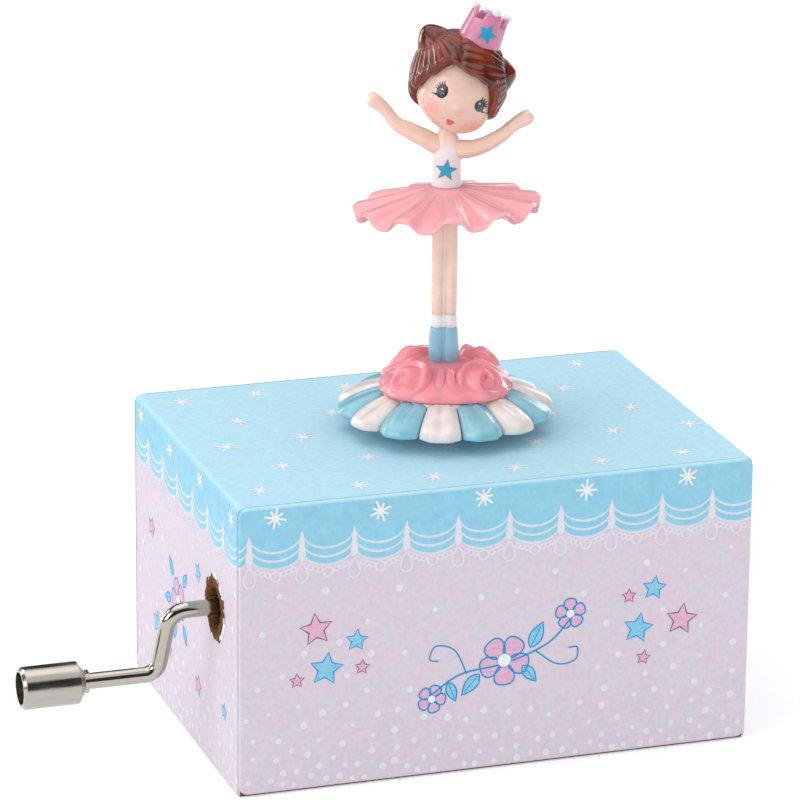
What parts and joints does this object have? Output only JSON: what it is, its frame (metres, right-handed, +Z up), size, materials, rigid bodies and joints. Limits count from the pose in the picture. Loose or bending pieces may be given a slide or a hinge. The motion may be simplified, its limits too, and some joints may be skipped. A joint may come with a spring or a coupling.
{
  "type": "hand-cranked music box",
  "caption": "Papered music box with a bent side crank, comb movement and two-start worm inside, and a ballerina on a flower base that turns slowly as the crank is wound.",
  "frame": {"origin": "centre of the box's footprint on the surface it stands on", "axes": "+X to the right along the front, away from the crank; +Y from the front to the back; +Z up"},
  "size_m": [0.112, 0.058, 0.1131],
  "materials": {
    "fibreboard": "raw brown fibreboard",
    "printed_paper": "printed paper with a satin coat",
    "printed_card": "printed card with a satin coat",
    "cast_zinc": "as-cast zinc alloy",
    "steel": "ground steel",
    "brass": "turned brass",
    "nickel_wire": "nickel-plated wire",
    "nickel_knob": "nickel-plated, turned",
    "nylon": "moulded nylon",
    "petal_plastic": "moulded, painted pale blue and white in turn",
    "rose_plastic": "moulded, pink",
    "leg_plastic": "moulded skin tone, slippers painted blue",
    "skirt_plastic": "moulded, pink",
    "body_plastic": "moulded skin tone, bodice painted white",
    "face_plastic": "moulded skin tone, painted features",
    "hair_plastic": "moulded, glossy brown",
    "crown_plastic": "moulded, pink with white tips"
  },
  "bodies": {
    "box": {"top_board": "fibreboard", "left_board": "fibreboard", "right_board": "fibreboard", "front_board": "fibreboard", "back_board": "fibreboard", "base_board": "fibreboard", "wrap_paper": "printed_paper", "front_card": "printed_card", "back_card": "printed_card", "movement_screws": "steel", "bedplate": "cast_zinc", "comb": "steel", "comb_screws": "steel", "spindle_bracket": "steel", "bracket_screws": "steel", "spindle_bush": "brass", "top_bush": "nylon"},
    "crank": {"crank_rod": "nickel_wire", "crank_worm": "nylon", "crank_clip": "steel"},
    "knob": {"crank_knob": "nickel_knob"},
    "drum": {"drum": "brass", "drum_caps": "brass", "drum_wheel": "nylon", "drum_arbor": "steel"},
    "figure": {"spindle": "steel", "spindle_wheel": "nylon", "spindle_clip": "steel", "petal_base": "petal_plastic", "rose_mound": "rose_plastic", "legs": "leg_plastic", "skirt": "skirt_plastic", "upper_body": "body_plastic", "head": "face_plastic", "hair": "hair_plastic", "crown": "crown_plastic"}
  },
  "joints": [
    {"name": "crank_turn", "type": "hinge", "parent": "box", "child": "crank", "pos_m": [0, -0.0162, 0.0262], "axis": [1, 0, 0], "continuous": true},
    {"name": "knob_spin", "type": "hinge", "parent": "crank", "child": "knob", "pos_m": [-0.0662, -0.01414, 0.0156], "axis": [1, 0, 0], "continuous": true},
    {"name": "figure_turn", "type": "hinge", "parent": "box", "child": "figure", "pos_m": [0.001, 0, 0.0262], "axis": [0, 0, 1], "continuous": true},
    {"name": "drum_turn", "type": "hinge", "parent": "box", "child": "drum", "pos_m": [0.001, 0, 0.01665], "axis": [0, 1, 0], "continuous": true}
  ],
  "couplings": [
    {"joint": "figure_turn", "follows": "crank_turn", "ratio": -0.052632},
    {"joint": "drum_turn", "follows": "crank_turn", "ratio": -0.10526}
  ]
}
